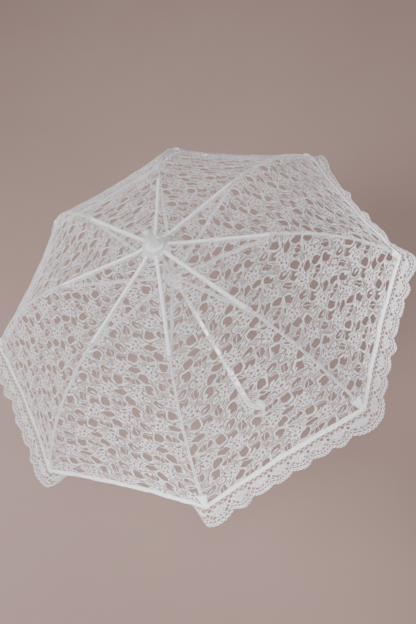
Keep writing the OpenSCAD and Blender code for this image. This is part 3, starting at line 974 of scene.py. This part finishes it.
def build_tip_gathers():
    """The pleated pocket that holds each tip, tapering onto the tip cap."""
    slope = ARM_SLOPE + 2 * WIRE_HALF_TURN
    turn = np.linspace(0, math.tau, 40, endpoint=False)
    s = np.linspace(POCKET_START, POCKET_END, 24)
    t = (s - POCKET_START) / (POCKET_END - POCKET_START)
    for k in RIB_NUMBERS:
        a = rib_azimuth(k)
        axis = outward(a) * math.cos(slope) - UP * math.sin(slope)
        facing = outward(a) * math.sin(slope) + UP * math.cos(slope)
        tip = outward(a) * TIP_R + UP * TIP_Z
        wide = 6.0 * (1 - t) ** 1.3 + 3.3
        tall = 1.2 * (1 - t) + 3.1
        rise = 2.2 * (1 - t) + 0.9
        pleat = 1 + (0.11 * np.cos(turn * 9 + k) + 0.05 * np.cos(turn * 16 + 2 * k))[None, :]
        pleat = 1 + (pleat - 1) * (0.35 + 0.65 * np.sin(np.clip(t, 0, 1) * math.pi)[:, None])
        rings = (
            tip
            + axis * s[:, None, None]
            + facing * (rise[:, None] + np.sin(turn)[None, :] * tall[:, None] * pleat)[..., None]
            + sideways(a) * (np.cos(turn)[None, :] * wide[:, None] * pleat)[..., None]
        ) * MM
        pile = Pile()
        pile.add_tube(rings, 10 * turn[None, :], s[:, None])
        obj = pile.make(f"tip_gather_{k}")
        obj.data.materials.append(HEM_CLOTH)
        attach(obj, f"wire_{k}")


build_lace()
build_edging()
build_hems()
build_seams()
build_tip_gathers()


# ---------------------------------------------------------------- finishes of the frame's parts

FINISHES = {
    "frame_plastic": plastic_material("frame_plastic", (0.95, 0.95, 0.96), (0.90, 0.90, 0.91), 0.36),
    "shaft_enamel": enamel_material("shaft_enamel", (0.86, 0.86, 0.87), (0.74, 0.74, 0.75)),
    "handle_plastic": plastic_material("handle_plastic", (0.90, 0.89, 0.90), (0.80, 0.79, 0.80), 0.3, 34),
    # The ferrule is a greyer plastic than the rest. Its grey is darkened further as painted shade, because the low
    # lights reach it unshaded by the lace.
    "ferrule_plastic": plastic_material("ferrule_plastic", (0.68, 0.68, 0.66), (0.55, 0.55, 0.53), 0.5),
    "washer_plastic": plastic_material("washer_plastic", (0.90, 0.90, 0.91), (0.82, 0.82, 0.83), 0.5),
    "rib_wire": enamel_material("rib_wire", (0.86, 0.86, 0.86), (0.72, 0.72, 0.72)),
    "tip_plastic": plastic_material("tip_plastic", (0.91, 0.91, 0.91), (0.82, 0.82, 0.82), 0.28),
    "wire_steel": steel_material("wire_steel", (0.66, 0.66, 0.67), (0.46, 0.46, 0.47), 0.34),
    "pin_steel": steel_material("pin_steel", (0.68, 0.68, 0.69), (0.5, 0.5, 0.51), 0.3),
}
for part in frame["record"]["subparts"]:
    finish = FINISHES.get(part["material_slot"])
    if finish:
        mesh = frame["nodes"][part["node"]].data
        mesh.materials.clear()
        mesh.materials.append(finish)


# ---------------------------------------------------------------- floor, light and camera

FLOOR_GAP = 0.0005
FLOOR_HALF, FLOOR_LINES = 6.0, 24


def build_floor():
    """A plain floor just under the handle."""
    top = cad_bounds[0][2] - FLOOR_GAP
    mesh = bpy.data.meshes.new("floor")
    xs = np.linspace(-FLOOR_HALF, FLOOR_HALF, FLOOR_LINES)
    points = np.array([(x, y, top) for y in xs for x in xs])
    index = np.arange(FLOOR_LINES * FLOOR_LINES).reshape(FLOOR_LINES, FLOOR_LINES)
    quads = np.stack([index[:-1, :-1], index[:-1, 1:], index[1:, 1:], index[1:, :-1]], -1).reshape(-1, 4)
    mesh.from_pydata(points.tolist(), [], quads.tolist())
    floor = bpy.data.objects.new("floor", mesh)
    bpy.context.scene.collection.objects.link(floor)
    s = Surface("floor_paper", 0.85)
    s.colour(s.noise(s.place(), 3, 4), [(0.3, (0.37, 0.25, 0.225)), (0.7, (0.385, 0.265, 0.235))])
    mesh.materials.append(s.material)


def area_light(name, place, target, size, power, colour, spread=180):
    """A soft round light at a place, aimed at a target; its spread is in degrees."""
    data = bpy.data.lights.new(name, "AREA")
    data.shape = "DISK"
    data.size = size
    data.energy = power
    data.color = colour
    data.spread = math.radians(spread)
    light = bpy.data.objects.new(name, data)
    light.location = place
    light.rotation_euler = (Vector(target) - Vector(place)).to_track_quat("-Z", "Y").to_euler()
    bpy.context.scene.collection.objects.link(light)


def build_lights():
    """White surroundings, two lights from above, and two low ones for the shaft under the lace."""
    world = bpy.data.worlds.new("studio")
    world.use_nodes = True
    background = world.node_tree.nodes["Background"]
    background.inputs["Color"].default_value = (1, 1, 1, 1)
    background.inputs["Strength"].default_value = 0.36
    bpy.context.scene.world = world
    middle, inside = (0, 0, 0.45), (0, 0, 0.2)
    area_light("key", (-1.3, 1.6, 2.6), middle, 1.3, 90, (1, 0.985, 0.98))
    area_light("front", (-0.9, -1.1, 3.0), middle, 0.9, 30, (0.98, 0.98, 1))
    area_light("low_left", (-1.6, -0.7, 0.3), inside, 0.45, 1.7, (1, 0.99, 0.99), 28)
    area_light("low_right", (0.5, -1.7, 0.3), inside, 0.45, 2.4, (1, 0.99, 0.99), 28)


# The photo's viewing angle
CAMERA_AIM = Vector((0.0158, -0.0172, 0.3295))
CAMERA_AZIMUTH, CAMERA_ELEVATION, CAMERA_ROLL = (math.radians(a) for a in (-47.45, 54.82, 29.38))
CAMERA_DISTANCE = 1.5816
CAMERA_SENSOR, CAMERA_LENS = 36, 46.04  # in mm


def build_camera():
    data = bpy.data.cameras.new("camera")
    data.sensor_width = CAMERA_SENSOR
    data.lens = CAMERA_LENS
    data.clip_end = 50
    camera = bpy.data.objects.new("camera", data)
    turn = Matrix.Rotation(CAMERA_AZIMUTH, 4, "Z")
    tilt = Matrix.Rotation(math.pi / 2 - CAMERA_ELEVATION, 4, "X")
    roll = Matrix.Rotation(-CAMERA_ROLL, 4, "Z")
    back = Matrix.Translation((0, 0, CAMERA_DISTANCE))
    camera.matrix_world = Matrix.Translation(CAMERA_AIM) @ turn @ tilt @ back @ roll
    bpy.context.scene.collection.objects.link(camera)
    bpy.context.scene.camera = camera


build_floor()
build_lights()
build_camera()
